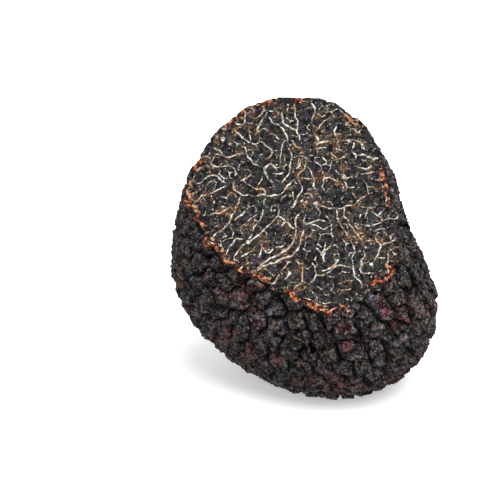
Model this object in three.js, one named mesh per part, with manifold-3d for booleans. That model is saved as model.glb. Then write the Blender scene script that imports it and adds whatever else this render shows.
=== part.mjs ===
// A ripe black truffle with a flat slice cut away from its front, in millimetres with +Z up.
// Its warty skin and its flesh grew as one piece, so it is one solid.
// It rests on a small flat spot, and the cut face looks to the front (-Y) and up.

import * as THREE from 'three';
import { ConvexHull } from 'three/addons/math/ConvexHull.js';
import { mergeVertices } from 'three/addons/utils/BufferGeometryUtils.js';
import Module from 'manifold-3d';

// The egg that the body grows from: half its size along X, Y and Z, and how high its centre stands.
const HALF_WIDTH = 26.4;
const HALF_DEPTH = 24.5;
const HALF_HEIGHT = 30.9;
const CENTRE_HEIGHT = 26.5;

// Lumps and hollows: the way each lies from the centre, how far it swells out (or sinks in, below
// zero), and how far round the body it spreads.
const LUMPS = [
  { name: 'right foot', towards: [0.82, -0.22, -0.52], swell: 4.2, spread: 0.22 },
  { name: 'front foot', towards: [0.32, -0.84, -0.44], swell: 4.2, spread: 0.22 },
  { name: 'left foot', towards: [-0.68, -0.2, -0.7], swell: -1.0, spread: 0.25 },
  { name: 'under side', towards: [-0.1, 0, -1], swell: -3.2, spread: 0.27 },
  { name: 'right shoulder', towards: [0.78, 0, 0.63], swell: -3.6, spread: 0.2 },
  { name: 'right waist', towards: [0.98, -0.06, 0.15], swell: -3.4, spread: 0.1 },
  { name: 'left flank', towards: [-0.96, -0.2, -0.2], swell: 1.2, spread: 0.15 },
  { name: 'left shoulder', towards: [-0.9, -0.2, 0.4], swell: -1.1, spread: 0.1 },
  { name: 'front hollow', towards: [-0.51, -0.84, -0.16], swell: -3.4, spread: 0.2 },
  { name: 'crown', towards: [0, 0, 1], swell: 1.1, spread: 0.27 },
  { name: 'back lump', towards: [-0.45, 0.85, -0.15], swell: 1.6, spread: 0.16 },
  { name: 'back hollow', towards: [0.4, 0.85, 0.3], swell: -1.8, spread: 0.1 },
  { name: 'left rim', towards: [-0.8, -0.27, 0.54], swell: 1.6, spread: 0.02 },
  { name: 'lower rim', towards: [-0.16, -0.98, -0.11], swell: -1.4, spread: 0.03 },
  { name: 'lower right rim', towards: [0.42, -0.9, -0.08], swell: -1.1, spread: 0.012 },
];

// The cut: the way its flat face looks, and how far it lies from the body's centre.
const CUT_NORMAL = new THREE.Vector3(-0.09, -0.76, 0.64).normalize();
const CUT_DISTANCE = 16.6;
const SLICE_WIDTH = 90;
const SLICE_THICKNESS = 60;

// Warts: how many would cover the whole body, how high they stand over the grooves between them,
// and how far the grooves lie under the smooth body.
const WART_COUNT = 640;
const WART_HEIGHT = 1.15;
const WART_HEIGHT_SPREAD = 0.45;
const GROOVE_DEPTH = 0.8;

// A wart's flattened top: its size and height as parts of the whole wart, the play in both, and how
// far its peak wanders from the middle.
const TOP_SIZE = 0.58;
const TOP_SIZE_SPREAD = 0.14;
const TOP_HEIGHT = 0.8;
const TOP_HEIGHT_SPREAD = 0.2;
const PEAK_WANDER = 0.02;

// Corners of neighbouring warts nearer than this are one corner.
const SHORTEST_GROOVE = 0.45;

// A wart's corners are counted round from this side, which no wart's middle lies on.
const TURN_START = new THREE.Vector3(0.3, 0.5, 0.81);

// Evenly scattered warts: each new one is the furthest from the others of this many tries.
const SCATTER_TRIES = 14;
const RANDOM_SEED = 4127;

THREE.MathUtils.seededRandom(RANDOM_SEED);

function random() {
  return THREE.MathUtils.seededRandom();
}

function randomAround(middle, spread) {
  return middle + spread * (random() - 0.5);
}

// Distance from the body's centre to its smooth surface, the way that a unit vector points.
function bodyRadius(way) {
  const egg = 1 / Math.hypot(way.x / HALF_WIDTH, way.y / HALF_DEPTH, way.z / HALF_HEIGHT);
  const swelling = LUMPS.map((lump) => {
    const towards = new THREE.Vector3(...lump.towards).normalize();
    return lump.swell * Math.exp((way.dot(towards) - 1) / lump.spread);
  });
  return swelling.reduce((sum, swell) => sum + swell, egg);
}

// A point of the surface, raised over the grooves. Nothing reaches below the flat spot at Z = 0.
function surfacePoint(way, raised) {
  const point = way.clone().multiplyScalar(bodyRadius(way) - GROOVE_DEPTH + raised);
  point.z = Math.max(point.z + CENTRE_HEIGHT, 0);
  return point;
}

function randomWay() {
  const z = randomAround(0, 2);
  const turn = randomAround(0, 2 * Math.PI);
  const flat = Math.sqrt(1 - z * z);
  return new THREE.Vector3(flat * Math.cos(turn), flat * Math.sin(turn), z);
}

// The middles of the warts, as unit vectors from the body's centre.
function scatterWarts() {
  const ways = [];
  const points = [];
  for (let wart = 0; wart < WART_COUNT; wart += 1) {
    let bestGap = -1;
    let bestWay = null;
    let bestPoint = null;
    for (let attempt = 0; attempt < SCATTER_TRIES; attempt += 1) {
      const way = randomWay();
      const point = way.clone().multiplyScalar(bodyRadius(way));
      const gap = Math.min(...points.map((other) => other.distanceToSquared(point)), Infinity);
      if (gap > bestGap) {
        bestGap = gap;
        bestWay = way;
        bestPoint = point;
      }
    }
    ways.push(bestWay);
    points.push(bestPoint);
  }
  return ways;
}

// The corner where three warts meet lies over the middle of each triangle of the hull around the
// warts' middles. Returns the corners and, for each wart, the numbers of its own corners.
function findCorners(ways) {
  const hull = new ConvexHull().setFromPoints(ways);
  const wartOf = new Map(ways.map((way, wart) => [way, wart]));
  const cornersOf = ways.map(() => new Set());
  const corners = [];
  const cornerPoints = [];
  for (const face of hull.faces) {
    const point = surfacePoint(face.normal, 0);
    let corner = cornerPoints.findIndex((other) => other.distanceTo(point) < SHORTEST_GROOVE);
    if (corner < 0) {
      corner = corners.length;
      corners.push(face.normal.clone());
      cornerPoints.push(point);
    }
    for (let side = 0; side < 3; side += 1) {
      cornersOf[wartOf.get(face.getEdge(side).head().point)].add(corner);
    }
  }
  return { corners, cornersOf };
}

// A wart's corners in order round its middle, anticlockwise seen from outside.
function sortRound(middle, wartCorners, corners) {
  const across = TURN_START.clone().cross(middle).normalize();
  const along = middle.clone().cross(across);
  const turnOf = (corner) => Math.atan2(corners[corner].dot(along), corners[corner].dot(across));
  return [...wartCorners].sort((a, b) => turnOf(a) - turnOf(b));
}

// The whole body: every wart is a ring of sloping sides from its grooves to a flattened top, with a
// low peak on it.
function wartyBody() {
  const ways = scatterWarts();
  const { corners, cornersOf } = findCorners(ways);
  const points = corners.map((corner) => surfacePoint(corner, 0));
  const triangles = [];
  ways.forEach((way, wart) => {
    const ring = sortRound(way, cornersOf[wart], corners);
    const middle = ring.reduce((sum, corner) => sum.add(corners[corner]), new THREE.Vector3());
    middle.normalize();
    const height = WART_HEIGHT * randomAround(1, WART_HEIGHT_SPREAD);
    const topSize = randomAround(TOP_SIZE, TOP_SIZE_SPREAD);
    const firstTop = points.length;
    for (const corner of ring) {
      const topWay = middle.clone().lerp(corners[corner], topSize).normalize();
      points.push(surfacePoint(topWay, height * randomAround(TOP_HEIGHT, TOP_HEIGHT_SPREAD)));
    }
    const peak = points.length;
    const wander = randomWay().multiplyScalar(PEAK_WANDER);
    points.push(surfacePoint(middle.add(wander).normalize(), height));
    ring.forEach((corner, side) => {
      const next = (side + 1) % ring.length;
      triangles.push([corner, ring[next], firstTop + next]);
      triangles.push([corner, firstTop + next, firstTop + side]);
      triangles.push([firstTop + side, firstTop + next, peak]);
    });
  });
  const geometry = new THREE.BufferGeometry();
  const positions = points.flatMap((point) => point.toArray());
  geometry.setAttribute('position', new THREE.Float32BufferAttribute(positions, 3));
  geometry.setIndex(triangles.flat());
  return geometry;
}

// The slice that was cut away: a slab whose one face lies on the cut.
function slice() {
  const slab = new THREE.BoxGeometry(SLICE_WIDTH, SLICE_WIDTH, SLICE_THICKNESS);
  slab.deleteAttribute('normal');
  slab.deleteAttribute('uv');
  slab.translate(0, 0, CUT_DISTANCE + SLICE_THICKNESS / 2);
  slab.applyQuaternion(new THREE.Quaternion().setFromUnitVectors(new THREE.Vector3(0, 0, 1), CUT_NORMAL));
  slab.translate(0, 0, CENTRE_HEIGHT);
  return mergeVertices(slab);
}

const wasm = await Module();
wasm.setup();

function solid(geometry) {
  const vertProperties = new Float32Array(geometry.attributes.position.array);
  const triVerts = new Uint32Array(geometry.index.array);
  return new wasm.Manifold(new wasm.Mesh({ numProp: 3, vertProperties, triVerts }));
}

function cutTruffle() {
  const mesh = solid(wartyBody()).subtract(solid(slice())).getMesh();
  const geometry = new THREE.BufferGeometry();
  geometry.setAttribute('position', new THREE.BufferAttribute(mesh.vertProperties, 3));
  geometry.setIndex(new THREE.BufferAttribute(mesh.triVerts, 1));
  return geometry;
}

// The origin lies on the surface, under the middle of the truffle's box.
function centreOverOrigin(geometry) {
  geometry.computeBoundingBox();
  const middle = geometry.boundingBox.getCenter(new THREE.Vector3());
  geometry.translate(-middle.x, -middle.y, -geometry.boundingBox.min.z);
  geometry.computeVertexNormals();
  return geometry;
}

const skin = new THREE.MeshStandardMaterial({ color: 0x2a2526, roughness: 0.85, metalness: 0 });
const truffle = new THREE.Mesh(centreOverOrigin(cutTruffle()), skin);
truffle.name = 'truffle';

const part = new THREE.Group();
part.add(truffle);

export default part;
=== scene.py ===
import math

import bmesh
import bpy
import numpy as np
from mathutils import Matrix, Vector, geometry, kdtree


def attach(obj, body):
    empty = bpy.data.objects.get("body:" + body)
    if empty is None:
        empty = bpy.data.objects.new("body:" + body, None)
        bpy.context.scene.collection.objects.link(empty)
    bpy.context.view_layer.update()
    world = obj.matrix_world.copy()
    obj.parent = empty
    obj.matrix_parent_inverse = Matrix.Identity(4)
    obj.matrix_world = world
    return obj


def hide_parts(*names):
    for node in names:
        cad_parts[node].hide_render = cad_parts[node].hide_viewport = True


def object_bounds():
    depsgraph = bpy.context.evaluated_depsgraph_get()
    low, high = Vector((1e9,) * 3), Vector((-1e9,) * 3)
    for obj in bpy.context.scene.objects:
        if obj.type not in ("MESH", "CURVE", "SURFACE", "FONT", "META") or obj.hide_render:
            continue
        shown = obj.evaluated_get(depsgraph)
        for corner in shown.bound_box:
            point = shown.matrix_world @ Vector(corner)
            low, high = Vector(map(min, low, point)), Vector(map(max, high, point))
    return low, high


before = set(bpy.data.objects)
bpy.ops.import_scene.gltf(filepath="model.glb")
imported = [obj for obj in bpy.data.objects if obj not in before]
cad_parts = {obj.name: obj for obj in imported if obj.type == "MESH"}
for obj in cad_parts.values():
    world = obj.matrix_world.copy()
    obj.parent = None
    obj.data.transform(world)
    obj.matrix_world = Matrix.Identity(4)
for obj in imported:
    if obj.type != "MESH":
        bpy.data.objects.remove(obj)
cad_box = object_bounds()

low, high = cad_box
BOX_LOW = np.array(low)
BOX_HIGH = np.array(high)
BOX_MIDDLE = np.array((low + high) / 2)

MM = 0.001

# The skin. A valley bent more than this is a groove between warts, and each wart bulges to a pebble.
GROOVE_BEND = math.radians(20)
GROOVE_NEIGHBOURS = 6
GROOVE_BLEND = 1e-4
LEAST_LIFT = 1e-6
SKIN_CUTS = 3
RING_SHARE = 0.8
RING_PLACE = 0.42
PEBBLE_ROUNDNESS = 0.36
FACET_SIZE = 1.5 * MM
FACET_RELIEF = 0.5 * MM
CRUMB_SIZE = 0.5 * MM
CRUMB_RELIEF = 0.3 * MM

# The skin's edges. Near the cut and near the flat spot it keeps its place, and the grooves that meet
# the cut are part filled. The topmost wart is trimmed, so that it doesn't stand over the cut.
LOOKS_UP = 0.2
ON_CUT = 0.005 * MM
RIM_HOLD = 1.2 * MM
RIM_FILL = 0.8
CROWN_TRIM = 0.55 * MM
SPOT_HOLD = 0.8 * MM
FREE_PART = "free"
SAME_POINT = 1e-6
SEWN_POINT = 2e-6

# The seeds of everything random, so that every run makes the same truffle.
WANDER_SEEDS = (41, 42)
SWELL_SEED = 43
PULL_SEED = 5
WIDE_SEED = 11
FINE_SEED = 12
FINE_EDGE_SEED = 7
CREST_SEED = 3
SCATTER_SEED = 9
SINK_SEED = 21
TINT_SEED = 31

# The vein pattern of the cut face grows on a square grid, in millimetres from the face's middle. It
# starts as low noise, and its ridges grow to stand one wave apart.
GRID_CELLS = 400
GRID_SPAN = 56.0
CELL = GRID_SPAN / GRID_CELLS
WIDE_WAVE = 1.5
FINE_WAVE = 1.05
GROWTH_STEPS = 50
GROWTH_PACE = 0.6
GROWTH_GAIN = 0.6
GROWTH_LEAN = 0.6
GROWTH_PULL = 0.33
PULL_SIZE = 0.35
START_HEIGHT = 0.3
HEIGHT_LIMIT = 2.5

# Between the drawn veins, fine ones run along the pattern's crests: the lowest crests carry none, and
# the highest the widest.
CREST_SHARE = 0.82
HIGHEST_SHARE = 0.985
CREST_BEND = -1
LEAST_BEND = -1e-3
CREST_REACH = 0.65 * CELL
CREST_PLAY = 0.4
CREST_PLAY_SIZE = 0.6
THIN_HALF_WIDTH = 0.02
WIDE_HALF_WIDTH = 0.08
WIDEST = 1.1
CLEAR_OF_VEINS = 0.6

# Where the flesh is fine-veined: the middle and the reach of the spot, and its wandering edge.
FINE_SPOT = (4.4, 10.1)
FINE_REACH = 5.5
FINE_EDGE = (0.35, 0.6)
FINE_EDGE_PLAY = 0.12
FINE_EDGE_SIZE = 1.5

# The veins that show best, each through its points, in pixels of the 500 pixel photo. The upper left:
PHOTO_SIZE = 500
VEINS = [
    [(295, 102), (295, 109), (296, 116), (298, 123), (296, 129), (298, 136), (300, 141)],
    [(265, 113), (263, 119), (259, 126), (256, 132)],
    [(269, 116), (271, 122), (274, 124), (279, 124), (282, 127), (283, 131), (286, 136), (288, 143)],
    [(282, 113), (283, 119), (283, 124), (289, 127), (296, 130)],
    [(288, 140), (283, 141), (281, 148), (281, 156), (279, 164)],
    [(289, 148), (292, 154), (291, 161), (290, 167), (291, 173), (286, 177), (282, 184)],
    [(245, 109), (245, 115), (247, 121), (242, 124), (238, 124), (236, 122)],
    [(247, 121), (250, 124), (254, 123)],
    [(234, 128), (237, 132), (241, 136), (245, 139), (250, 142), (257, 144), (260, 140), (264, 142)],
    [(264, 142), (267, 147), (271, 151), (270, 156), (266, 160)], [(257, 144), (258, 149)],
    [(271, 151), (275, 151)],
    [(212, 147), (217, 148), (221, 151), (224, 155), (229, 157), (237, 154), (244, 153)],
    [(216, 155), (224, 155)], [(242, 147), (246, 148), (247, 154), (250, 159), (254, 163), (259, 166)],
    [(214, 157), (212, 163), (216, 167), (221, 166), (226, 165), (234, 167), (236, 173), (238, 174)],
    [(264, 167), (270, 164), (275, 168), (278, 167)],
    [(266, 167), (265, 173), (268, 180), (273, 182), (274, 186)], [(274, 174), (279, 174), (285, 172)],
    [(268, 135), (275, 134), (278, 139)], [(247, 183), (250, 187), (257, 188), (265, 189), (266, 193)],
    [(234, 182), (232, 187), (235, 192), (240, 195), (245, 196), (250, 194)], [(192, 193), (200, 189)],
    [(210, 193), (214, 190), (221, 189), (226, 186)], [(195, 200), (202, 197), (208, 194)],
    [(197, 184), (203, 181), (209, 176), (217, 175), (221, 180), (225, 182)],
    [(257, 196), (263, 195), (272, 195), (279, 196), (283, 192), (287, 187), (292, 180)],
    [(296, 169), (297, 164), (300, 160)],
]
# The upper right:
VEINS += [
    [(310, 102), (315, 106), (316, 111), (313, 116), (313, 122)], [(316, 113), (321, 117), (326, 116)],
    [(321, 103), (324, 107)], [(340, 109), (344, 113), (349, 119), (353, 123), (359, 126)],
    [(337, 126), (335, 130), (337, 135), (336, 139), (341, 141), (347, 140), (353, 139)],
    [(318, 129), (321, 123), (326, 120), (331, 117)], [(322, 132), (324, 129)], [(329, 125), (333, 123)],
    [(353, 139), (360, 142), (362, 146), (365, 150)],
    [(315, 132), (316, 139), (319, 142), (326, 142), (333, 142)], [(316, 145), (319, 142)],
    [(316, 148), (321, 148), (327, 148)],
    [(332, 152), (332, 155), (337, 156), (336, 159), (341, 158), (347, 158)],
    [(337, 149), (344, 152), (348, 150)], [(353, 149), (356, 154), (356, 158)],
    [(357, 154), (364, 155), (370, 158), (379, 160)], [(361, 159), (365, 161), (367, 160)],
    [(314, 161), (317, 163), (321, 166), (321, 170), (317, 171)],
    [(321, 165), (326, 162), (325, 159), (322, 157)], [(326, 163), (330, 164), (330, 167)],
    [(308, 166), (311, 169), (311, 176), (313, 181), (313, 188), (317, 191)], [(302, 178), (311, 178)],
    [(293, 157), (302, 156), (307, 155)], [(306, 156), (301, 161), (297, 168)],
    [(305, 165), (303, 170), (298, 174), (298, 181), (301, 187), (302, 191), (298, 198)],
    [(298, 198), (295, 204), (294, 207), (289, 207)], [(306, 193), (311, 194), (313, 198)],
    [(324, 175), (324, 180), (324, 184), (322, 188), (326, 192)],
    [(324, 178), (330, 178), (334, 180), (337, 181)], [(333, 170), (338, 174), (344, 173)],
    [(354, 167), (361, 168), (366, 170), (372, 165)], [(357, 173), (357, 176), (355, 178)],
    [(361, 174), (368, 173), (374, 172)], [(345, 181), (348, 186), (353, 186)], [(340, 200), (344, 195)],
]
# The lower right:
VEINS += [
    [(313, 203), (318, 206), (326, 207), (337, 208), (346, 208), (353, 205), (359, 201), (366, 194)],
    [(313, 201), (315, 205), (318, 210), (320, 214), (317, 215)],
    [(337, 207), (336, 214), (338, 220), (341, 225), (343, 230), (347, 236), (351, 240), (355, 250)],
    [(355, 250), (352, 255), (352, 262), (353, 268), (354, 275), (357, 279), (361, 283), (362, 289)],
    [(346, 208), (342, 216), (348, 220), (350, 225), (353, 230), (357, 233), (361, 240)],
    [(357, 233), (363, 233)], [(375, 231), (379, 229), (386, 229)],
    [(361, 224), (366, 226), (373, 227), (378, 225), (382, 222), (382, 217), (379, 215), (373, 214)],
    [(379, 215), (382, 211), (385, 207)], [(361, 207), (375, 207)], [(367, 207), (366, 213), (365, 217)],
    [(375, 237), (379, 243), (382, 244), (389, 243), (393, 240), (395, 236)],
    [(381, 244), (379, 251), (376, 256), (375, 261)], [(363, 244), (367, 246)],
    [(364, 250), (366, 254), (363, 257), (360, 259), (360, 265), (362, 271), (364, 274), (373, 273)],
    [(379, 258), (385, 258)], [(389, 253), (390, 260), (387, 263)],
    [(315, 247), (320, 250), (323, 253), (326, 250), (330, 249), (332, 246)],
    [(326, 243), (325, 247), (323, 252), (324, 257), (324, 262)],
    [(323, 269), (329, 268), (334, 265), (337, 262), (339, 258)],
    [(312, 262), (314, 266), (313, 270), (317, 276), (312, 282), (308, 286)],
    [(317, 276), (323, 275), (329, 272), (334, 266), (343, 265), (352, 268)],
    [(302, 266), (303, 273), (302, 282), (296, 286), (295, 290)], [(302, 282), (309, 285)],
    [(295, 261), (300, 265), (304, 261)],
    [(305, 214), (304, 219), (304, 224), (311, 224), (314, 222), (321, 220), (326, 221)],
    [(311, 224), (318, 227), (324, 229), (330, 226), (332, 224)], [(327, 215), (331, 221)],
]
# The lower left:
VEINS += [
    [(299, 213), (296, 217), (296, 224), (296, 237), (293, 243), (287, 249), (273, 257), (257, 268)],
    [(304, 231), (302, 235), (301, 243), (298, 250), (291, 255), (279, 260), (269, 264), (256, 271)],
    [(277, 216), (273, 221), (266, 228), (257, 235), (250, 241), (244, 245), (238, 251), (234, 256)],
    [(240, 196), (237, 205), (235, 211), (231, 219), (226, 226), (218, 232), (211, 237)],
    [(285, 218), (286, 223), (284, 227)], [(286, 223), (290, 227), (295, 229)], [(266, 198), (265, 204)],
    [(208, 215), (214, 213), (221, 211), (227, 209)], [(235, 220), (240, 217), (244, 213), (244, 210)],
    [(248, 220), (252, 219), (257, 214)], [(254, 229), (254, 225), (260, 222), (262, 216), (264, 209)],
    [(270, 213), (271, 208), (276, 206), (281, 207), (277, 216)], [(249, 239), (252, 233)],
    [(279, 216), (283, 218), (286, 222), (283, 227)],
    [(227, 252), (229, 246), (234, 241), (238, 238), (243, 238)], [(224, 242), (229, 239), (234, 238)],
    [(240, 258), (246, 254), (252, 250), (254, 246)], [(257, 259), (260, 254), (260, 245)],
    [(260, 248), (263, 249), (266, 254), (271, 252), (273, 248)],
    [(264, 242), (273, 241), (276, 237), (275, 232)], [(273, 241), (282, 242)], [(282, 239), (284, 234)],
    [(234, 258), (239, 262)], [(249, 271), (256, 270)], [(272, 283), (276, 281), (280, 276)],
    [(286, 279), (289, 275), (292, 273)],
]

# How wide the drawn veins are, how far they wander and swell, and how they thin out at their ends.
VEIN_HALF_WIDTH = 0.11
VEIN_WANDER = 0.13
WANDER_SIZE = 0.45
VEIN_SWELL = 0.3
SWELL_SIZE = 0.7
VEIN_END = (-0.3, 0.5)

# Where veins run together to a pale spot: its pixel of the photo and its radius in millimetres, and
# how many lines across it are meshed.
PALE_SPOTS = [
    ((323, 253), 0.5), ((248, 242), 0.42), ((316, 203), 0.34), ((302, 201), 0.3), ((306, 202), 0.3),
    ((337, 261), 0.3), ((371, 264), 0.34), ((344, 177), 0.4), ((223, 139), 0.45), ((230, 144), 0.3),
    ((350, 141), 0.36), ((363, 147), 0.3), ((374, 159), 0.3), ((347, 124), 0.34), ((258, 131), 0.25),
    ((284, 251), 0.25), ((290, 196), 0.25), ((288, 105), 0.25), ((236, 174), 0.28), ((289, 272), 0.25),
]
PALE_SPOT_LINES = 5

# Where rust-brown shows along the rim: a pixel of the photo, and the reach in millimetres. It is
# strongest at the rim and fades out between two depths into the flesh.
RUST_SPOTS = [
    ((187, 199), 2.0), ((197, 225), 1.8), ((212, 246), 1.8), ((233, 266), 1.9), ((259, 281), 2.0),
    ((290, 296), 1.7), ((316, 307), 2.4), ((342, 316), 1.6), ((377, 285), 1.5), ((392, 271), 1.6),
    ((385, 175), 1.5), ((392, 196), 1.6), ((298, 100), 1.3), ((350, 122), 1.7), ((240, 111), 1.5),
    ((266, 102), 1.4), ((226, 122), 1.2), ((198, 165), 1.8),
]
RUST_DEPTH = (0.4, 2.0)

# How finely the cut face is meshed, in millimetres: along the veins, beside them, away from them and
# in rows along the rim. A place is in or out of the veins by the nearest points of their middle lines.
VEIN_STEP = 0.24
VEIN_FLANK = 0.1
FLESH_STEP = 0.85
SCATTERED_POINTS = 9000
VEIN_NEIGHBOURS = 14
RIM_MARGIN = 0.1
RIM_ROWS = (0.12, 0.3, 0.6, 1.0)
ON_RIM = 1e-3

# How far the flesh sinks between its veins, in millimetres, and how unevenly.
FLESH_SINK = 0.07
SINK_MIDDLE = 0.5
SINK_PLAY = 0.35
SINK_SIZE = 0.9
SINK_FLANK = (0.05, -0.25)
SINK_RIM = 0.8
OFF_VEINS = -0.3

# The skin's colours, as on a screen from 0 to 255. A pair runs from dark to light, and the pair of the
# crinkles' painted highlight from grey to reddish. Spots of brown and of green lie on the slate. Of a
# spot the numbers say its size in millimetres, its detail, the limits of noise it comes up between, and
# its strength.
SLATE = ((11, 11, 14), (128, 128, 142))
SKIN_TONES = [
    ((2.6, 3.0, 0.44, 0.56, 1.0), (17, 13, 12), (134, 116, 106)),
    ((2.2, 3.0, 0.56, 0.68, 0.7), (8, 17, 17), (84, 102, 98)),
]
RED_SPOTS = (1.7, 3.0, 0.44, 0.6, 1.0)
TAN_SPOTS = (1.5, 3.0, 0.68, 0.74, 0.7)
# Painted glints: tiny bright specks on the warts' tops.
GLINT_SPOTS = (0.5, 1.0, 0.66, 0.74, 0.8)
RED = ((36, 12, 17), (166, 86, 88))
# The crinkles are fine folds, and their pale colour is a painted highlight along them:
CRINKLE_HIGHLIGHT = ((164, 157, 154), (182, 126, 116))
TAN = (126, 106, 66)
CRACK = (7, 8, 9)
# Painted shade in the grooves between the warts:
GROOVE_SHADE = (3, 5, 5)
# The colour of the painted glints:
GLINT_COLOUR = (168, 160, 154)

# The flesh's colours. Spots of violet, green and brown lie on the grey.
GREY = ((8, 8, 9), (68, 66, 66))
FLESH_TONES = [
    ((1.4, 2.0, 0.52, 0.62, 0.8), (8, 6, 13), (58, 48, 72)),
    ((1.6, 2.0, 0.53, 0.63, 0.8), (6, 10, 8), (48, 58, 53)),
    ((1.1, 3.0, 0.54, 0.67, 0.65), (20, 13, 9), (92, 66, 46)),
]
FLECKS = (0.42, 1.0, 0.64, 0.71, 0.75)
PALE_VEIN_PARTS = (0.9, 2.0, 0.38, 0.62, 1.0)
CREAM_VEIN = ((136, 124, 106), (232, 227, 215))
TAN_VEIN = (198, 162, 122)
RUSTY_VEIN = (208, 148, 100)
HALO = (116, 80, 48)
FLECK = (176, 162, 142)
RUST = ((44, 20, 14), (142, 60, 28))
BRIGHT_RUST = (200, 94, 38)
PALE_RUST = (206, 168, 130)
DARK_EDGE = (22, 16, 16)

# The sizes, in millimetres, of the skin's patches, blotches and facets, and the size and the width of
# its cracks and crinkles. Then the sizes of the flesh's patches, mottling and ragged vein edges, how
# fine the grain of both is, and how much finer the speckle of the skin's painted glints is.
SKIN_PATCH = 8
BLOTCH = 1.2
COLOUR_FACET = 1.3
CRACKS = (2.4, 0.018)
CRINKLES = (1.0, 0.03)
FLESH_PATCH = 3.0
MOTTLE = 0.8
LIGHT_PATCH = 4
RAGGED_EDGE = 0.34
GLOW = 0.6
GRAIN_SCALE = 2600
# How much finer the speckle of painted glints is than the grain:
GLINT_SCALE = 1.7

# The crinkles' painted highlight is clearer from here to the right and from here down, in metres.
CRINKLE_HIGHLIGHT_RIGHT = (0.015, 0.024)
CRINKLE_HIGHLIGHT_LOW = (0.016, 0.008)

# The map for baking: two corners of the place of the cut face and of each third of the skin, and how
# far the middle of a third leans to its side and to the back.
MAP_PLACES = [
    ((0.005, 0.005), (0.59, 0.59)), ((0.6, 0.005), (0.995, 0.49)), ((0.6, 0.5), (0.995, 0.985)),
    ((0.005, 0.6), (0.59, 0.995)),
]
THIRD_TURN = 2 * math.pi / 3
LEAN_SIDE = 0.9
LEAN_BACK = 0.42

# The camera, as the photograph was taken.
CAMERA_AIM = Vector((-0.01072, 0, 0.02717))
CAMERA_DISTANCE = 0.2783
CAMERA_ELEVATION = math.radians(17)
CAMERA_LENS = 100
CAMERA_SENSOR = 36
CAMERA_BACK = Vector((0, -math.cos(CAMERA_ELEVATION), math.sin(CAMERA_ELEVATION)))

# The light: even from all sides, white from the horizon, and from a soft lamp. The table glows a
# little, and it is so wide that its far edge can't be seen.
EVEN_LIGHT = 0.7
HORIZON_LIGHT = 1.0
HORIZON_EDGE = (0.18, 0.3)
TABLE_WHITE = 0.9
TABLE_GLOW = 0.4
TABLE_SIZE = 60
LAMP_STRENGTH = 3.0
LAMP_SPREAD = 50
LAMP_WAY = Vector((0.25, -0.45, 1.0))


def make_active(piece):
    bpy.ops.object.select_all(action="DESELECT")
    piece.select_set(True)
    bpy.context.view_layer.objects.active = piece


def edit(piece, operator, **settings):
    """Runs an edit operator on the whole piece."""
    make_active(piece)
    bpy.ops.object.mode_set(mode="EDIT")
    bpy.ops.mesh.select_all(action="SELECT")
    operator(**settings)
    bpy.ops.object.mode_set(mode="OBJECT")


def read_points(mesh):
    points = np.empty(len(mesh.vertices) * 3)
    mesh.vertices.foreach_get("co", points)
    return points.reshape(-1, 3)


def write_points(mesh, points):
    mesh.vertices.foreach_set("co", points.ravel())
    mesh.update()


def read_values(mesh, name):
    layer = mesh.attributes[name]
    values = np.empty(len(layer.data), np.float32 if layer.data_type == "FLOAT" else np.int32)
    layer.data.foreach_get("value", values)
    return values


def write_values(mesh, name, values, kind="FLOAT", domain="POINT"):
    layer = mesh.attributes.get(name) or mesh.attributes.new(name, kind, domain)
    number = np.float32 if kind == "FLOAT" else np.int32
    all_values = np.broadcast_to(values, len(layer.data)).astype(number)
    layer.data.foreach_set("value", np.ascontiguousarray(all_values))


def read_numbers(items, name):
    numbers = np.empty(len(items), int)
    items.foreach_get(name, numbers)
    return numbers


def smooth_step(low, high, values):
    part = np.clip((values - low) / (high - low), 0, 1)
    return part * part * (3 - 2 * part)


def unit(ways):
    """Each of the ways with a length of 1."""
    return ways / np.linalg.norm(ways, axis=1)[:, None]


class Cut:
    """The flat cut: the node's largest flat face that looks up, with its own axes."""

    def __init__(self, node):
        faces = node.data.polygons
        normals = np.array([face.normal for face in faces])
        areas = np.array([face.area for face in faces])
        groups = {}
        for face, normal in enumerate(np.round(normals, 2).tolist()):
            if normal[2] > LOOKS_UP:
                groups.setdefault(tuple(normal), []).append(face)
        flat = max(groups.values(), key=lambda group: areas[group].sum())
        weights = areas[flat][:, None]
        centres = np.array([faces[face].center for face in flat])
        self.middle = (centres * weights).sum(0) / weights.sum()
        normal = (normals[flat] * weights).sum(0)
        self.normal = normal / np.linalg.norm(normal)
        across = np.cross((0, 0, 1), self.normal)
        self.across = across / np.linalg.norm(across)
        self.up = np.cross(self.normal, self.across)
        heights = abs(self.height(read_points(node.data)))
        self.faces = [face.index for face in faces if heights[list(face.vertices)].max() < ON_CUT]

    def height(self, points):
        """How far points stand over the cut, in metres."""
        return (points - self.middle) @ self.normal

    def flatten(self, points):
        """Places of points on the cut, in millimetres across and up it."""
        away = (points - self.middle) / MM
        return np.stack([away @ self.across, away @ self.up], -1)

    def seen_at(self, pixels):
        """The places on the cut that show at pixels of the photo, in millimetres across and up it."""
        right = np.array((1, 0, 0))
        back = np.array(CAMERA_BACK)
        on_sensor = (np.array(pixels) / PHOTO_SIZE - 0.5) * CAMERA_SENSOR
        ways = on_sensor[:, :1] * right - on_sensor[:, 1:] * np.cross(back, right) - CAMERA_LENS * back
        eye = np.array(CAMERA_AIM) + CAMERA_DISTANCE * back
        reach = (self.middle - eye) @ self.normal / (ways @ self.normal)
        return self.flatten(eye + reach[:, None] * ways)

    def lift(self, places):
        """Points in the room of places on the cut."""
        places = np.asarray(places) * MM
        return self.middle + places[:, :1] * self.across + places[:, 1:] * self.up


def groove_points(mesh):
    """The numbers of the points that lie in the grooves between warts."""
    form = bmesh.new()
    form.from_mesh(mesh)
    found = set()
    for edge in form.edges:
        if len(edge.link_faces) == 2 and edge.calc_face_angle_signed() < -GROOVE_BEND:
            found.update(point.index for point in edge.verts)
    form.free()
    return found


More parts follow.
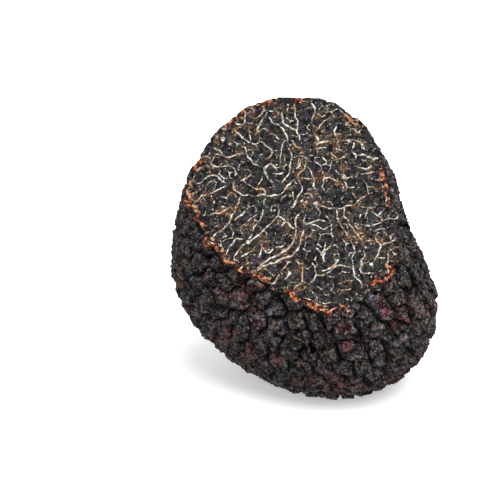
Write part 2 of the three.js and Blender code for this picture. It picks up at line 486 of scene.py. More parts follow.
def wart_of_faces(mesh, grooves):
    """The wart that each face belongs to: the points between the grooves hang together in warts."""
    form = bmesh.new()
    form.from_mesh(mesh)
    form.verts.ensure_lookup_table()
    wart_of_point = np.full(len(form.verts), -1)
    wart_count = 0
    for start in form.verts:
        if start.index in grooves or wart_of_point[start.index] >= 0:
            continue
        wart_of_point[start.index] = wart_count
        waiting = [start]
        while waiting:
            point = waiting.pop()
            for edge in point.link_edges:
                other = edge.other_vert(point)
                if other.index not in grooves and wart_of_point[other.index] < 0:
                    wart_of_point[other.index] = wart_count
                    waiting.append(other)
        wart_count += 1
    form.free()
    return np.array([max(wart_of_point[list(face.vertices)]) for face in mesh.polygons])


def lift_over_grooves(points, grooves):
    """How far each point stands over the smooth body that runs through the grooves, in metres."""
    away = points - BOX_MIDDLE
    radii = np.linalg.norm(away, axis=1)
    ways = unit(away)
    tree = kdtree.KDTree(len(grooves))
    for groove in grooves:
        tree.insert(ways[groove], groove)
    tree.balance()
    lift = np.zeros(len(points))
    for point, way in enumerate(ways):
        if point in grooves:
            continue
        near = tree.find_n(way, GROOVE_NEIGHBOURS)
        weights = np.array([1 / (gap * gap + GROOVE_BLEND) for _, _, gap in near])
        lift[point] = radii[point] - radii[[groove for _, groove, _ in near]] @ weights / weights.sum()
    return np.maximum(lift, 0)


def add_texture(kind, size, **settings):
    texture = bpy.data.textures.new(kind.lower(), kind)
    texture.noise_scale = size
    for name, value in settings.items():
        setattr(texture, name, value)
    return texture


def displace(piece, texture, relief):
    """Presses the texture's bright places into the free part of the piece."""
    make_active(piece)
    modifier = piece.modifiers.new("relief", "DISPLACE")
    modifier.texture = texture
    modifier.texture_coords = "LOCAL"
    modifier.mid_level = 0.0
    modifier.strength = -relief
    modifier.vertex_group = FREE_PART
    bpy.ops.object.modifier_apply(modifier=modifier.name)


def pebble_height(share):
    """The height of a round pebble, as a part of its top, where the node's own wart has that share."""
    slope = share / RING_SHARE * RING_PLACE
    crown = RING_PLACE + (share - RING_SHARE) / (1 - RING_SHARE) * (1 - RING_PLACE)
    inwards = np.where(share < RING_SHARE, slope, crown)
    return (1 - (1 - inwards) ** 2) ** PEBBLE_ROUNDNESS


def open_skin(node, cut):
    """A copy of the node without its cut face."""
    skin = node.copy()
    skin.data = node.data.copy()
    skin.name = "truffle_flesh_and_skin"
    skin.data.name = skin.name
    bpy.context.scene.collection.objects.link(skin)
    for name in list(skin.keys()):
        del skin[name]
    form = bmesh.new()
    form.from_mesh(skin.data)
    form.faces.ensure_lookup_table()
    bmesh.ops.delete(form, geom=[form.faces[face] for face in cut.faces], context="FACES")
    form.to_mesh(skin.data)
    form.free()
    edit(skin, bpy.ops.mesh.remove_doubles, threshold=SAME_POINT)
    return skin


def lift_shares(mesh):
    """Each point's lift, the lift of its wart's top, and the first as a part of the second."""
    lift = read_values(mesh, "lift").astype(float)
    wart = read_values(mesh, "wart")
    wart_of_point = np.zeros(len(lift), int)
    for face in mesh.polygons:
        wart_of_point[list(face.vertices)] = wart[face.index]
    tops = np.full(wart.max() + 2, LEAST_LIFT)
    np.maximum.at(tops, wart_of_point, lift)
    top = tops[wart_of_point]
    return lift, top, np.clip(lift / top, 0, 1)


def round_warts(mesh, cut):
    """Rounds every wart to a pebble. Returns how free of the cut and of the flat spot each point is."""
    points = read_points(mesh)
    lift, top, share = lift_shares(mesh)
    rim_hold = 1 - smooth_step(0, RIM_HOLD, -cut.height(points))
    spot_free = smooth_step(0, SPOT_HOLD, points[:, 2])
    pebble = pebble_height(share)
    pebble += RIM_FILL * rim_hold * (1 - pebble)
    raise_by = (top * pebble - lift) * spot_free
    ways = unit(points - BOX_MIDDLE)
    off_cut = ways - (ways @ cut.normal * rim_hold)[:, None] * cut.normal
    points += off_cut * raise_by[:, None]
    points -= np.maximum(cut.height(points), 0)[:, None] * cut.normal
    up_the_cut = np.array((0, 0, 1)) - cut.normal[2] * cut.normal
    too_high = np.maximum(points[:, 2] - BOX_HIGH[2] + CROWN_TRIM, 0)
    points -= (too_high / up_the_cut[2])[:, None] * up_the_cut
    points[:, 2] = np.maximum(points[:, 2], 0)
    write_points(mesh, points)
    write_values(mesh, "share", share)
    return (1 - rim_hold) * spot_free


def warty_skin(node, cut):
    """The node's skin without its cut face, every wart rounded to a pebble with small facets."""
    skin = open_skin(node, cut)
    grooves = groove_points(skin.data)
    write_values(skin.data, "lift", lift_over_grooves(read_points(skin.data), grooves))
    write_values(skin.data, "wart", wart_of_faces(skin.data, grooves), "INT", "FACE")
    edit(skin, bpy.ops.mesh.subdivide, number_cuts=SKIN_CUTS)
    free = round_warts(skin.data, cut)
    mask = skin.vertex_groups.new(name=FREE_PART)
    for point, weight in enumerate(free.tolist()):
        mask.add([point], weight, "REPLACE")
    displace(skin, add_texture("VORONOI", FACET_SIZE, distance_metric="MANHATTAN"), FACET_RELIEF)
    displace(skin, add_texture("CLOUDS", CRUMB_SIZE, noise_depth=2), CRUMB_RELIEF)
    skin.vertex_groups.clear()
    write_points(skin.data, np.clip(read_points(skin.data), BOX_LOW, BOX_HIGH))
    return skin


def rim_loop(mesh):
    """The numbers of the points round the open rim, in order."""
    form = bmesh.new()
    form.from_mesh(mesh)
    after = {}
    for edge in form.edges:
        if edge.is_boundary:
            corner = edge.link_loops[0]
            after[corner.link_loop_next.vert.index] = corner.vert.index
    form.free()
    loops = []
    while after:
        loop = [next(iter(after))]
        while loop[-1] in after:
            loop.append(after.pop(loop[-1]))
        loops.append(loop[:-1])
    return max(loops, key=len)


def grid_places():
    line = (np.arange(GRID_CELLS) + 0.5) * CELL - GRID_SPAN / 2
    return np.meshgrid(line, line)


def wave_numbers():
    """The square of each wave number of the grid's Fourier transform."""
    upward = np.fft.fftfreq(GRID_CELLS, CELL) * 2 * np.pi
    across = np.fft.rfftfreq(GRID_CELLS, CELL) * 2 * np.pi
    return across[None, :] ** 2 + upward[:, None] ** 2


def soft_noise(size, seed):
    """Seeded noise over the grid, with lumps of that size and a spread of 1."""
    rough = np.random.default_rng(seed).standard_normal((GRID_CELLS, GRID_CELLS))
    waves = np.fft.rfft2(rough) * np.exp(-wave_numbers() * size**2 / 2)
    soft = np.fft.irfft2(waves, s=rough.shape)
    return soft / soft.std()


def rounded(line, rounds=2):
    """The line with its corners cut, so that it bends softly."""
    for _ in range(rounds):
        cut_line = [line[0]]
        for (x0, y0), (x1, y1) in zip(line, line[1:]):
            cut_line.append((0.75 * x0 + 0.25 * x1, 0.75 * y0 + 0.25 * y1))
            cut_line.append((0.25 * x0 + 0.75 * x1, 0.25 * y0 + 0.75 * y1))
        line = cut_line + [line[-1]]
    return line


def resample(line, step):
    """Points along the line, one every step."""
    line = np.array(line)
    along = np.concatenate([[0], np.cumsum(np.linalg.norm(np.diff(line, axis=0), axis=1))])
    places = np.linspace(0, along[-1], max(3, round(along[-1] / step)))
    return np.stack([np.interp(places, along, line[:, axis]) for axis in (0, 1)], 1)


def drawn_veins(cut):
    """Points along the middle lines of the drawn veins, the way across each, and its half width."""
    wander = [soft_noise(WANDER_SIZE, seed) for seed in WANDER_SEEDS]
    swell = soft_noise(SWELL_SIZE, SWELL_SEED)
    middles, sides, widths = [], [], []
    for line in VEINS:
        path = resample(rounded(cut.seen_at(line)), VEIN_STEP / 2)
        path += VEIN_WANDER * np.stack([sample(field, path) for field in wander], 1)
        along = unit(np.gradient(path, axis=0))
        steps = np.arange(len(path))
        thinning = smooth_step(*VEIN_END, np.minimum(steps, steps[::-1]) * VEIN_STEP / 2)
        width = VEIN_HALF_WIDTH * (1 + VEIN_SWELL * sample(swell, path)) * thinning
        middles.append(path)
        sides.append(np.stack([-along[:, 1], along[:, 0]], 1))
        widths.append(np.maximum(width, THIN_HALF_WIDTH))
    for pixel, radius in PALE_SPOTS:
        turns = np.linspace(0, np.pi, PALE_SPOT_LINES, endpoint=False)
        middles.append(np.repeat(cut.seen_at([pixel]), len(turns), axis=0))
        sides.append(np.stack([np.cos(turns), np.sin(turns)], 1))
        widths.append(np.full(len(turns), radius))
    return np.concatenate(middles), np.concatenate(sides), np.concatenate(widths)


def grow_pattern(wave, seed):
    """Lets a maze of ridges grow from noise, as wide apart as the wave."""
    ring = (2 * np.pi / wave) ** 2
    gain = GROWTH_GAIN - (wave_numbers() / ring - 1) ** 2
    spread = 1 / (1 - GROWTH_PACE * gain)
    pull = GROWTH_PULL * soft_noise(PULL_SIZE, PULL_SEED)
    ridges = START_HEIGHT * np.random.default_rng(seed).standard_normal((GRID_CELLS, GRID_CELLS))
    for _ in range(GROWTH_STEPS):
        push = pull - GROWTH_LEAN * ridges**2 - ridges**3
        waves = np.fft.rfft2(ridges + GROWTH_PACE * push) * spread
        ridges = np.clip(np.fft.irfft2(waves, s=ridges.shape), -HEIGHT_LIMIT, HEIGHT_LIMIT)
    return ridges


def grow_crests():
    """The pattern of fine veins over the grid, finer about one spot."""
    across, up = grid_places()
    far = (across - FINE_SPOT[0]) ** 2 + (up - FINE_SPOT[1]) ** 2
    edge_play = FINE_EDGE_PLAY * soft_noise(FINE_EDGE_SIZE, FINE_EDGE_SEED)
    fine = smooth_step(*FINE_EDGE, np.exp(-far / (2 * FINE_REACH**2)) + edge_play)
    return grow_pattern(WIDE_WAVE, WIDE_SEED) * (1 - fine) + grow_pattern(FINE_WAVE, FINE_SEED) * fine


def fine_veins():
    """Points along the middle lines of the pattern's veins, the way across each, and its half width."""
    across, up = grid_places()
    crests = grow_crests()
    slope_up, slope_across = np.gradient(crests, CELL)
    bend_mixed, bend_across = np.gradient(slope_across, CELL)
    bend_up, _ = np.gradient(slope_up, CELL)
    turn = 0.5 * np.arctan2(2 * bend_mixed, bend_across - bend_up)
    side_x, side_y = -np.sin(turn), np.cos(turn)
    slope = slope_across * side_x + slope_up * side_y
    bend = bend_across * side_x**2 + 2 * bend_mixed * side_x * side_y + bend_up * side_y**2
    shift = -slope / np.minimum(bend, LEAST_BEND)
    lowest, highest = np.quantile(crests, (CREST_SHARE, HIGHEST_SHARE))
    play = CREST_PLAY * soft_noise(CREST_PLAY_SIZE, CREST_SEED)
    height = (crests - lowest) / (highest - lowest) + play
    on_crest = (bend < CREST_BEND) & (abs(shift) < CREST_REACH) & (height > 0)
    width = THIN_HALF_WIDTH + (WIDE_HALF_WIDTH - THIN_HALF_WIDTH) * np.clip(height, 0, WIDEST) ** 2
    middles = np.stack([across + shift * side_x, up + shift * side_y], -1)[on_crest]
    return middles, np.stack([side_x, side_y], -1)[on_crest], width[on_crest]


def tree_of(places):
    tree = kdtree.KDTree(len(places))
    for number, (x, y) in enumerate(places):
        tree.insert((x, y, 0), number)
    tree.balance()
    return tree


def all_veins(cut):
    """The drawn veins, and fine ones where no drawn vein is near."""
    drawn = drawn_veins(cut)
    tree = tree_of(drawn[0])
    fine = fine_veins()
    clear = np.array([tree.find((x, y, 0))[2] > CLEAR_OF_VEINS for x, y in fine[0]])
    return [np.concatenate([one, other[clear]]) for one, other in zip(drawn, fine)]


def inside_veins(places, middles, widths):
    """How far each place lies inside a vein (below zero: outside), in millimetres."""
    tree = tree_of(middles)
    inside = np.empty(len(places))
    for number, (x, y) in enumerate(places):
        near = tree.find_n((x, y, 0), VEIN_NEIGHBOURS)
        inside[number] = max(widths[middle] - gap for _, middle, gap in near)
    return inside


def sample(field, places):
    """The field's values at places, blended from the four grid places round each."""
    at = np.clip((np.asarray(places) + GRID_SPAN / 2) / CELL - 0.5, 0, GRID_CELLS - 1.001)
    column, row = at[:, 0].astype(int), at[:, 1].astype(int)
    right, above = at[:, 0] - column, at[:, 1] - row
    low = field[row, column] * (1 - right) + field[row, column + 1] * right
    high = field[row + 1, column] * (1 - right) + field[row + 1, column + 1] * right
    return low * (1 - above) + high * above


def thin_out(places, step):
    """Keeps the first of the places that fall in each square of that step."""
    squares = np.floor(np.asarray(places) / step).astype(int)
    _, first = np.unique(squares, axis=0, return_index=True)
    return np.asarray(places)[np.sort(first)]


def inside_rim(places, rim):
    """Which places lie inside the closed rim, and how far each lies from it."""
    x, y = places[:, 0], places[:, 1]
    inside = np.zeros(len(places), bool)
    gap = np.full(len(places), np.inf)
    for (x0, y0), (x1, y1) in zip(rim, np.roll(rim, -1, axis=0)):
        crosses = (y0 > y) != (y1 > y)
        inside ^= crosses & (x < (x1 - x0) * (y - y0) / (y1 - y0 + 1e-12) + x0)
        length = (x1 - x0) ** 2 + (y1 - y0) ** 2 + 1e-12
        along = np.clip(((x - x0) * (x1 - x0) + (y - y0) * (y1 - y0)) / length, 0, 1)
        gap = np.minimum(gap, np.hypot(x - x0 - along * (x1 - x0), y - y0 - along * (y1 - y0)))
    return inside, gap


def rim_inwards(rim):
    """The way from each point of the rim, across it, into the cut face."""
    along = np.roll(rim, -2, axis=0) - np.roll(rim, 2, axis=0)
    along /= np.linalg.norm(along, axis=1)[:, None] + 1e-9
    inwards = np.stack([-along[:, 1], along[:, 0]], 1)
    if (inwards * (rim.mean(0) - rim)).sum() < 0:
        inwards = -inwards
    return inwards


def rust_at(places, cut):
    """How rusty the flesh is at places, from 0 up."""
    middles = cut.seen_at([pixel for pixel, _ in RUST_SPOTS])
    rust = np.zeros(len(places))
    for middle, (_, reach) in zip(middles, RUST_SPOTS):
        rust += np.exp(-(((places - middle) ** 2).sum(1)) / (2 * reach**2))
    return rust


def cut_flesh(skin, cut):
    """The cut face inside the skin's rim, meshed along its veins and a little uneven."""
    rim = cut.flatten(read_points(skin.data)[rim_loop(skin.data)])
    middles, sides, widths = all_veins(cut)
    half = sides * widths[:, None]
    flank = half + sides * VEIN_FLANK
    rows = [middles, middles + half, middles - half, middles + flank, middles - flank]
    veins = np.concatenate([thin_out(row, VEIN_STEP) for row in rows])
    random = np.random.default_rng(SCATTER_SEED)
    scattered = random.uniform(-GRID_SPAN / 2, GRID_SPAN / 2, (SCATTERED_POINTS, 2))
    flesh = thin_out(scattered, FLESH_STEP)
    inwards = rim_inwards(rim)
    rim_rows = np.concatenate([thin_out(rim + step * inwards, VEIN_STEP) for step in RIM_ROWS])
    places = np.concatenate([rim_rows, veins, flesh])
    inside, gap = inside_rim(places, rim)
    places = places[inside & (gap > RIM_MARGIN)]

    corners = [Vector(place) for place in np.concatenate([rim, places]).tolist()]
    rim_edges = [(step, (step + 1) % len(rim)) for step in range(len(rim))]
    found = geometry.delaunay_2d_cdt(corners, rim_edges, [], 1, SAME_POINT, False)
    places = np.array([tuple(place) for place in found[0]])
    triangles = np.array(found[2])
    inside, _ = inside_rim(places[triangles].mean(axis=1), rim)
    faces = triangles[inside].tolist()

    _, gap = inside_rim(places, rim)
    vein = inside_veins(places, middles, widths)
    dips = np.clip(SINK_MIDDLE + SINK_PLAY * sample(soft_noise(SINK_SIZE, SINK_SEED), places), 0, 1)
    sink = FLESH_SINK * MM * (dips + smooth_step(*SINK_FLANK, vein)) * smooth_step(0, SINK_RIM, gap)
    points = cut.lift(places) - sink[:, None] * cut.normal
    mesh = bpy.data.meshes.new("flesh")
    mesh.from_pydata(points.tolist(), [], faces)
    piece = bpy.data.objects.new("flesh", mesh)
    bpy.context.scene.collection.objects.link(piece)
    write_values(mesh, "vein", np.where(gap < ON_RIM, OFF_VEINS, vein))
    write_values(mesh, "rim_gap", gap)
    write_values(mesh, "rust", rust_at(places, cut) * (1 - smooth_step(*RUST_DEPTH, gap)))
    return piece


def join_pieces(skin, flesh):
    """Makes one closed piece, sewn along the rim."""
    for name in ("vein", "rim_gap", "rust"):
        write_values(skin.data, name, 0)
    write_values(flesh.data, "share", 0)
    write_values(flesh.data, "tint", 0, domain="FACE")
    make_active(skin)
    flesh.select_set(True)
    bpy.ops.object.join()
    edit(skin, bpy.ops.mesh.remove_doubles, threshold=SEWN_POINT)


def colour(red, green, blue):
    """A screen colour from 0 to 255, as the light values that shaders use."""
    parts = [value / 255 for value in (red, green, blue)]
    return [*(part / 12.92 if part < 0.04045 else ((part + 0.055) / 1.055) ** 2.4 for part in parts), 1]


def add_node(tree, kind, inputs=None, **settings):
    """A shader node with its settings, and each input set to a value or joined to a socket."""
    node = tree.nodes.new(kind)
    for name, value in settings.items():
        setattr(node, name, value)
    for name, value in (inputs or {}).items():
        if isinstance(value, bpy.types.NodeSocket):
            tree.links.new(value, node.inputs[name])
        else:
            node.inputs[name].default_value = value
    return node


def ramp(tree, value, low, high, to_low=0, to_high=1):
    """A smooth step of a value between two limits."""
    inputs = {"Value": value, "From Min": low, "From Max": high, "To Min": to_low, "To Max": to_high}
    node = add_node(tree, "ShaderNodeMapRange", inputs, interpolation_type="SMOOTHSTEP")
    return node.outputs["Result"]


def maths(tree, operation, first, second=0):
    return add_node(tree, "ShaderNodeMath", {0: first, 1: second}, operation=operation).outputs[0]


def times(tree, first, *others):
    """The product of values."""
    for other in others:
        first = maths(tree, "MULTIPLY", first, other)
    return first


def blend(tree, part, first, second):
    """Colour one blended into colour two as part goes from 0 to 1."""
    node = tree.nodes.new("ShaderNodeMix")
    node.data_type = "RGBA"
    for socket, value in ((0, part), (6, first), (7, second)):
        if isinstance(value, bpy.types.NodeSocket):
            tree.links.new(value, node.inputs[socket])
        else:
            node.inputs[socket].default_value = colour(*value)
    return node.outputs[2]


def noise(tree, place, size, detail=2.0):
    """Noise with lumps of that size in millimetres, from 0 to 1."""
    inputs = {"Vector": place, "Scale": 1 / (size * MM), "Detail": detail, "Roughness": 0.55}
    return add_node(tree, "ShaderNodeTexNoise", inputs).outputs["Fac"]


def spots(tree, place, size, detail, low, high, strength):
    """Soft spots of noise, from 0 up to their strength."""
    return ramp(tree, noise(tree, place, size, detail), low, high, 0.0, strength)


def toned(tree, place, light, ground, tones):
    """A ground colour with spots of other tones, all from dark to light by the same light."""
    base = blend(tree, light, *ground)
    for spot, dark, bright in tones:
        base = blend(tree, spots(tree, place, *spot), base, blend(tree, light, dark, bright))
    return base


def attribute(tree, name):
    return add_node(tree, "ShaderNodeAttribute", attribute_name=name).outputs["Fac"]


def grain_group():
    """A node group: fine grain, for colour and for bumps, and a fine speckle of painted glints."""
    group = bpy.data.node_groups.new("fine grain and glints", "ShaderNodeTree")
    group.interface.new_socket("Place", in_out="INPUT", socket_type="NodeSocketVector")
    group.interface.new_socket("Glint", in_out="OUTPUT", socket_type="NodeSocketFloat")
    group.interface.new_socket("Grain", in_out="OUTPUT", socket_type="NodeSocketFloat")
    place = group.nodes.new("NodeGroupInput").outputs["Place"]
    end = group.nodes.new("NodeGroupOutput")
    inputs = {"Vector": place, "Scale": GRAIN_SCALE, "Detail": 3.0}
    grain = add_node(group, "ShaderNodeTexNoise", inputs).outputs["Fac"]
    inputs = {"Vector": place, "Scale": GRAIN_SCALE * GLINT_SCALE, "Detail": 1.0}
    glint_noise = add_node(group, "ShaderNodeTexNoise", inputs).outputs["Fac"]
    group.links.new(ramp(group, glint_noise, 0.66, 0.74), end.inputs["Glint"])
    group.links.new(grain, end.inputs["Grain"])
    return group


def new_material(name):
    """An empty material, its shader and the place of each point of the piece."""
    material = bpy.data.materials.new(name)
    material.use_nodes = True
    tree = material.node_tree
    shader = tree.nodes["Principled BSDF"]
    place = tree.nodes.new("ShaderNodeTexCoord").outputs["Object"]
    return material, tree, shader, place


def use_group(tree, group, place):
    node = tree.nodes.new("ShaderNodeGroup")
    node.node_tree = group
    tree.links.new(place, node.inputs["Place"])
    return node.outputs


def threads(tree, place, size, width):
    """Thin wandering lines, 1 on the line and 0 beside it."""
    off = maths(tree, "ABSOLUTE", maths(tree, "SUBTRACT", noise(tree, place, size, 3.0), 0.5))
    return ramp(tree, off, 0.0, width, 1.0, 0.0)


def skin_material(group):
    """Near-black warty skin: slate, brown and reddish warts, painted highlights on crinkles, painted
    shade in grooves and facet creases, and painted glints.
    """
    material, tree, shader, place = new_material("black warty skin")
    share = attribute(tree, "share")
    tint = attribute(tree, "tint")
    fine = use_group(tree, group, place)
    patches = noise(tree, place, SKIN_PATCH)
    blotches = noise(tree, place, BLOTCH, 4.0)
    rough = ramp(tree, fine["Grain"], 0.38, 0.64)
    facets = {"Vector": place, "Scale": 1 / (COLOUR_FACET * MM)}
    facets = add_node(tree, "ShaderNodeTexVoronoi", facets, distance="MANHATTAN").outputs["Distance"]
    chunk = maths(tree, "SUBTRACT", 1.0, facets)
    open_top = ramp(tree, maths(tree, "ADD", share, times(tree, blotches, 0.3)), 0.15, 0.32)
    cracks = threads(tree, place, *CRACKS)
    crinkles = threads(tree, place, *CRINKLES)

    # The colour darkens toward the sunken edges of the facets that the bump raises: painted shade in
    # their creases.
    light = times(
        tree, ramp(tree, blotches, 0.38, 0.62, 0.06, 1.25), ramp(tree, chunk, -0.1, 0.9, 0.35),
        ramp(tree, rough, 0, 1, 0.08, 1.25), ramp(tree, tint, 0, 1, 0.5, 1.25),
    )
    base = toned(tree, place, light, SLATE, SKIN_TONES)
    redder = times(tree, ramp(tree, tint, 0.3, 0.8, 0.25), ramp(tree, patches, 0.42, 0.56))
    redder = times(tree, redder, spots(tree, place, *RED_SPOTS))
    base = blend(tree, times(tree, redder, 0.9), base, blend(tree, light, *RED))
    base = blend(tree, spots(tree, place, *TAN_SPOTS), base, TAN)

    where = add_node(tree, "ShaderNodeSeparateXYZ", {"Vector": place}).outputs
    # Painted highlight: the crinkles are pale, and more so to the right and lower down.
    crinkle_highlight_reach = ramp(tree, patches, 0.44, 0.58)
    crinkle_highlight_reach = maths(tree, "ADD", crinkle_highlight_reach, ramp(tree, where["X"], *CRINKLE_HIGHLIGHT_RIGHT))
    crinkle_highlight_reach = maths(tree, "ADD", crinkle_highlight_reach, ramp(tree, where["Z"], *CRINKLE_HIGHLIGHT_LOW))
    clearness = ramp(tree, crinkle_highlight_reach, 0, 1, 0.6, 0.95)
    crinkles = times(tree, crinkles, ramp(tree, blotches, 0.42, 0.56), clearness)
    base = blend(tree, crinkles, base, blend(tree, redder, *CRINKLE_HIGHLIGHT))
    base = blend(tree, times(tree, cracks, 0.8), base, CRACK)
    # Painted shade: the grooves between the warts are darkened.
    base = blend(tree, maths(tree, "SUBTRACT", 1.0, open_top), base, GROOVE_SHADE)
    # Painted glints: bright specks on the warts' tops, kept out of the grooves.
    painted_glints = maths(tree, "MAXIMUM", spots(tree, place, *GLINT_SPOTS), fine["Glint"])
    base = blend(tree, times(tree, painted_glints, open_top), base, GLINT_COLOUR)
    tree.links.new(base, shader.inputs["Base Color"])
    tree.links.new(ramp(tree, fine["Grain"], 0.35, 0.65, 0.35, 0.8), shader.inputs["Roughness"])
    shader.inputs["Specular IOR Level"].default_value = 0.12
    height = maths(tree, "ADD", times(tree, chunk, 1.2), fine["Grain"])
    height = maths(tree, "ADD", height, times(tree, crinkles, 0.2))
    height = maths(tree, "SUBTRACT", height, times(tree, cracks, 0.3))
    bump = add_node(tree, "ShaderNodeBump", {"Height": height, "Distance": 0.6 * MM})
    tree.links.new(bump.outputs["Normal"], shader.inputs["Normal"])
    return material


def flesh_material(group):
    """Charcoal flesh with grey-cream veins in brown halos, and broken rust-brown along the rim."""
    material, tree, shader, place = new_material("veined flesh")
    gap = attribute(tree, "rim_gap")
    rust = attribute(tree, "rust")
    fine = use_group(tree, group, place)
    patches = noise(tree, place, FLESH_PATCH, 3.0)
    mottle = noise(tree, place, MOTTLE, 4.0)
    rough = ramp(tree, fine["Grain"], 0.36, 0.64)

    light = times(
        tree, ramp(tree, mottle, 0.38, 0.62, 0.05), ramp(tree, rough, 0, 1, 0.4),
        ramp(tree, noise(tree, place, LIGHT_PATCH), 0.4, 0.6, 0.75, 1.25),
    )
    flesh = toned(tree, place, light, GREY, FLESH_TONES)

    ragged = maths(tree, "SUBTRACT", noise(tree, place, RAGGED_EDGE), 0.5)
    vein = maths(tree, "ADD", attribute(tree, "vein"), times(tree, ragged, 0.42))
    halo = times(tree, ramp(tree, vein, -0.3, 0.0), ramp(tree, patches, 0.46, 0.62, 0.0, 0.65))
    halo = times(tree, halo, ramp(tree, mottle, 0.35, 0.6, 0.3))
    flesh = blend(tree, halo, flesh, HALO)
    flecks = times(tree, spots(tree, place, *FLECKS), ramp(tree, patches, 0.42, 0.56))
    flesh = blend(tree, flecks, flesh, FLECK)

    uneven = times(tree, maths(tree, "SUBTRACT", mottle, 0.5), 4.0)
    rusty = ramp(tree, maths(tree, "ADD", rust, uneven), 0.45, 1.1)
    rusty = times(tree, rusty, ramp(tree, rust, 0.06, 0.3))
    glow = noise(tree, place, GLOW, 3.0)
    rust_colour = blend(tree, ramp(tree, glow, 0.36, 0.54), *RUST)
    rust_colour = blend(tree, ramp(tree, glow, 0.52, 0.62), rust_colour, BRIGHT_RUST)
    rust_colour = blend(tree, ramp(tree, mottle, 0.56, 0.64, 0.0, 0.8), rust_colour, PALE_RUST)
    flesh = blend(tree, times(tree, rusty, 0.85), flesh, rust_colour)

    cream = blend(tree, spots(tree, place, *PALE_VEIN_PARTS), *CREAM_VEIN)
    cream = blend(tree, ramp(tree, patches, 0.54, 0.64, 0.0, 0.7), cream, TAN_VEIN)
    cream = blend(tree, times(tree, rusty, 0.6), cream, RUSTY_VEIN)
    inside = times(tree, ramp(tree, vein, -0.05, 0.05), ramp(tree, fine["Grain"], 0.34, 0.54, 0.4))
    base = blend(tree, inside, flesh, cream)
    edge = maths(tree, "ADD", gap, times(tree, uneven, 0.2))
    base = blend(tree, ramp(tree, edge, 0.05, 0.3, 0.85, 0.0), base, DARK_EDGE)
    tree.links.new(base, shader.inputs["Base Color"])
    tree.links.new(ramp(tree, fine["Grain"], 0.35, 0.65, 0.5, 0.8), shader.inputs["Roughness"])
    shader.inputs["Specular IOR Level"].default_value = 0.06
    bump = add_node(tree, "ShaderNodeBump", {"Height": fine["Grain"], "Distance": 0.08 * MM})
    tree.links.new(bump.outputs["Normal"], shader.inputs["Normal"])
    return material


def tint_warts(skin):
    """Gives each wart a number of its own from 0 to 1, for its colour."""
    wart = read_values(skin.data, "wart")
    tints = np.random.default_rng(TINT_SEED).uniform(0, 1, wart.max() + 2)
    write_values(skin.data, "tint", tints[wart], domain="FACE")


def third_of_skin(ways, third, cut):
    """Flat places for ways from the middle, as a round picture about the middle of a third."""
    turn = -math.pi / 2 + (third + 0.5) * THIRD_TURN
    side = math.cos(turn) * cut.across + math.sin(turn) * cut.up
    pole = side * LEAN_SIDE - cut.normal * LEAN_BACK
    pole /= np.linalg.norm(pole)
    right = np.cross(cut.normal, pole)
    right /= np.linalg.norm(right)
    spread = np.sqrt(2 / (1 + np.clip(ways @ pole, -0.9, 1)))
    return np.stack([ways @ right * spread, ways @ np.cross(pole, right) * spread], 1)


def bake_map(piece, cut):
    """The map for baking: the cut face, and the skin in three round parts about the cut's back."""
    mesh = piece.data
    points = read_points(mesh)
    ways = unit(points - BOX_MIDDLE)
    point_of = read_numbers(mesh.loops, "vertex_index")
    counts = read_numbers(mesh.polygons, "loop_total")
    face_of = np.repeat(np.arange(len(counts)), counts)
    in_cut = (read_numbers(mesh.polygons, "material_index") == 1)[face_of]
    face_ways = unit(np.stack([np.bincount(face_of, ways[point_of, axis]) for axis in range(3)], 1))
    turns = np.arctan2(face_ways @ cut.up, face_ways @ cut.across)
    third_of = (np.floor((turns + math.pi / 2) / THIRD_TURN).astype(int) % 3)[face_of]
    parts = [(in_cut, cut.flatten(points[point_of[in_cut]]))]
    for third in range(3):
        corners = ~in_cut & (third_of == third)
        parts.append((corners, third_of_skin(ways[point_of[corners]], third, cut)))
    maps = np.zeros((len(point_of), 2))
    for (corners, places), (low_corner, high_corner) in zip(parts, MAP_PLACES):
        least, most = places.min(0), places.max(0)
        scale = (np.subtract(high_corner, low_corner) / (most - least)).min()
        maps[corners] = (places - least) * scale + low_corner
    mesh.uv_layers.new(name="OFBake").data.foreach_set("uv", maps.ravel())


def studio_world():
    """Soft white light, even from all sides but for a brighter horizon."""
    world = bpy.data.worlds.new("studio")
    world.use_nodes = True
    tree = world.node_tree
    way = tree.nodes.new("ShaderNodeTexCoord").outputs["Generated"]
    upward = add_node(tree, "ShaderNodeSeparateXYZ", {"Vector": way}).outputs["Z"]
    horizon = ramp(tree, maths(tree, "ABSOLUTE", upward), *HORIZON_EDGE, HORIZON_LIGHT, 0.0)
    light = maths(tree, "MAXIMUM", horizon, EVEN_LIGHT)
    tree.links.new(light, tree.nodes["Background"].inputs["Strength"])
    tree.nodes["Background"].inputs["Color"].default_value = (1, 1, 1, 1)
    bpy.context.scene.world = world


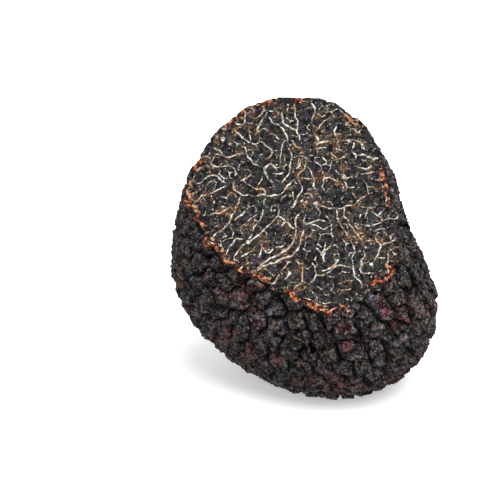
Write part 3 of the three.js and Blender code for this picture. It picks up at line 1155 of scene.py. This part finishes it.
def light_the_scene():
    """A white table, even light from all sides, and a large soft lamp from the upper right."""
    bpy.ops.mesh.primitive_plane_add(size=TABLE_SIZE)
    floor = bpy.context.object
    floor.name = "floor"
    white, _, shader, _ = new_material("white table")
    shader.inputs["Base Color"].default_value = (TABLE_WHITE, TABLE_WHITE, TABLE_WHITE, 1)
    shader.inputs["Roughness"].default_value = 0.9
    shader.inputs["Specular IOR Level"].default_value = 0
    shader.inputs["Emission Color"].default_value = (1, 1, 1, 1)
    shader.inputs["Emission Strength"].default_value = TABLE_GLOW
    floor.data.materials.append(white)
    floor.visible_diffuse = False
    floor.visible_glossy = False
    studio_world()
    sun = bpy.data.lights.new("soft sun", "SUN")
    sun.energy = LAMP_STRENGTH
    sun.angle = math.radians(LAMP_SPREAD)
    lamp = bpy.data.objects.new("soft sun", sun)
    lamp.rotation_mode = "QUATERNION"
    lamp.rotation_quaternion = LAMP_WAY.to_track_quat("Z", "Y")
    bpy.context.scene.collection.objects.link(lamp)
    bpy.context.scene.view_settings.view_transform = "Standard"


def place_camera():
    camera = bpy.data.objects.new("camera", bpy.data.cameras.new("camera"))
    camera.data.lens = CAMERA_LENS
    camera.data.sensor_width = CAMERA_SENSOR
    camera.location = CAMERA_AIM + CAMERA_BACK * CAMERA_DISTANCE
    camera.rotation_mode = "QUATERNION"
    camera.rotation_quaternion = CAMERA_BACK.to_track_quat("Z", "Y")
    camera.data.clip_start = 0.01
    bpy.context.scene.collection.objects.link(camera)
    bpy.context.scene.camera = camera


def dress_truffle():
    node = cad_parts["truffle"]
    cut = Cut(node)
    piece = warty_skin(node, cut)
    tint_warts(piece)
    flesh = cut_flesh(piece, cut)
    grain = grain_group()
    piece.data.materials.clear()
    piece.data.materials.append(skin_material(grain))
    flesh.data.materials.append(flesh_material(grain))
    join_pieces(piece, flesh)
    bpy.ops.object.shade_smooth()
    bake_map(piece, cut)
    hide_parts("truffle")
    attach(piece, "root")


dress_truffle()
light_the_scene()
place_camera()
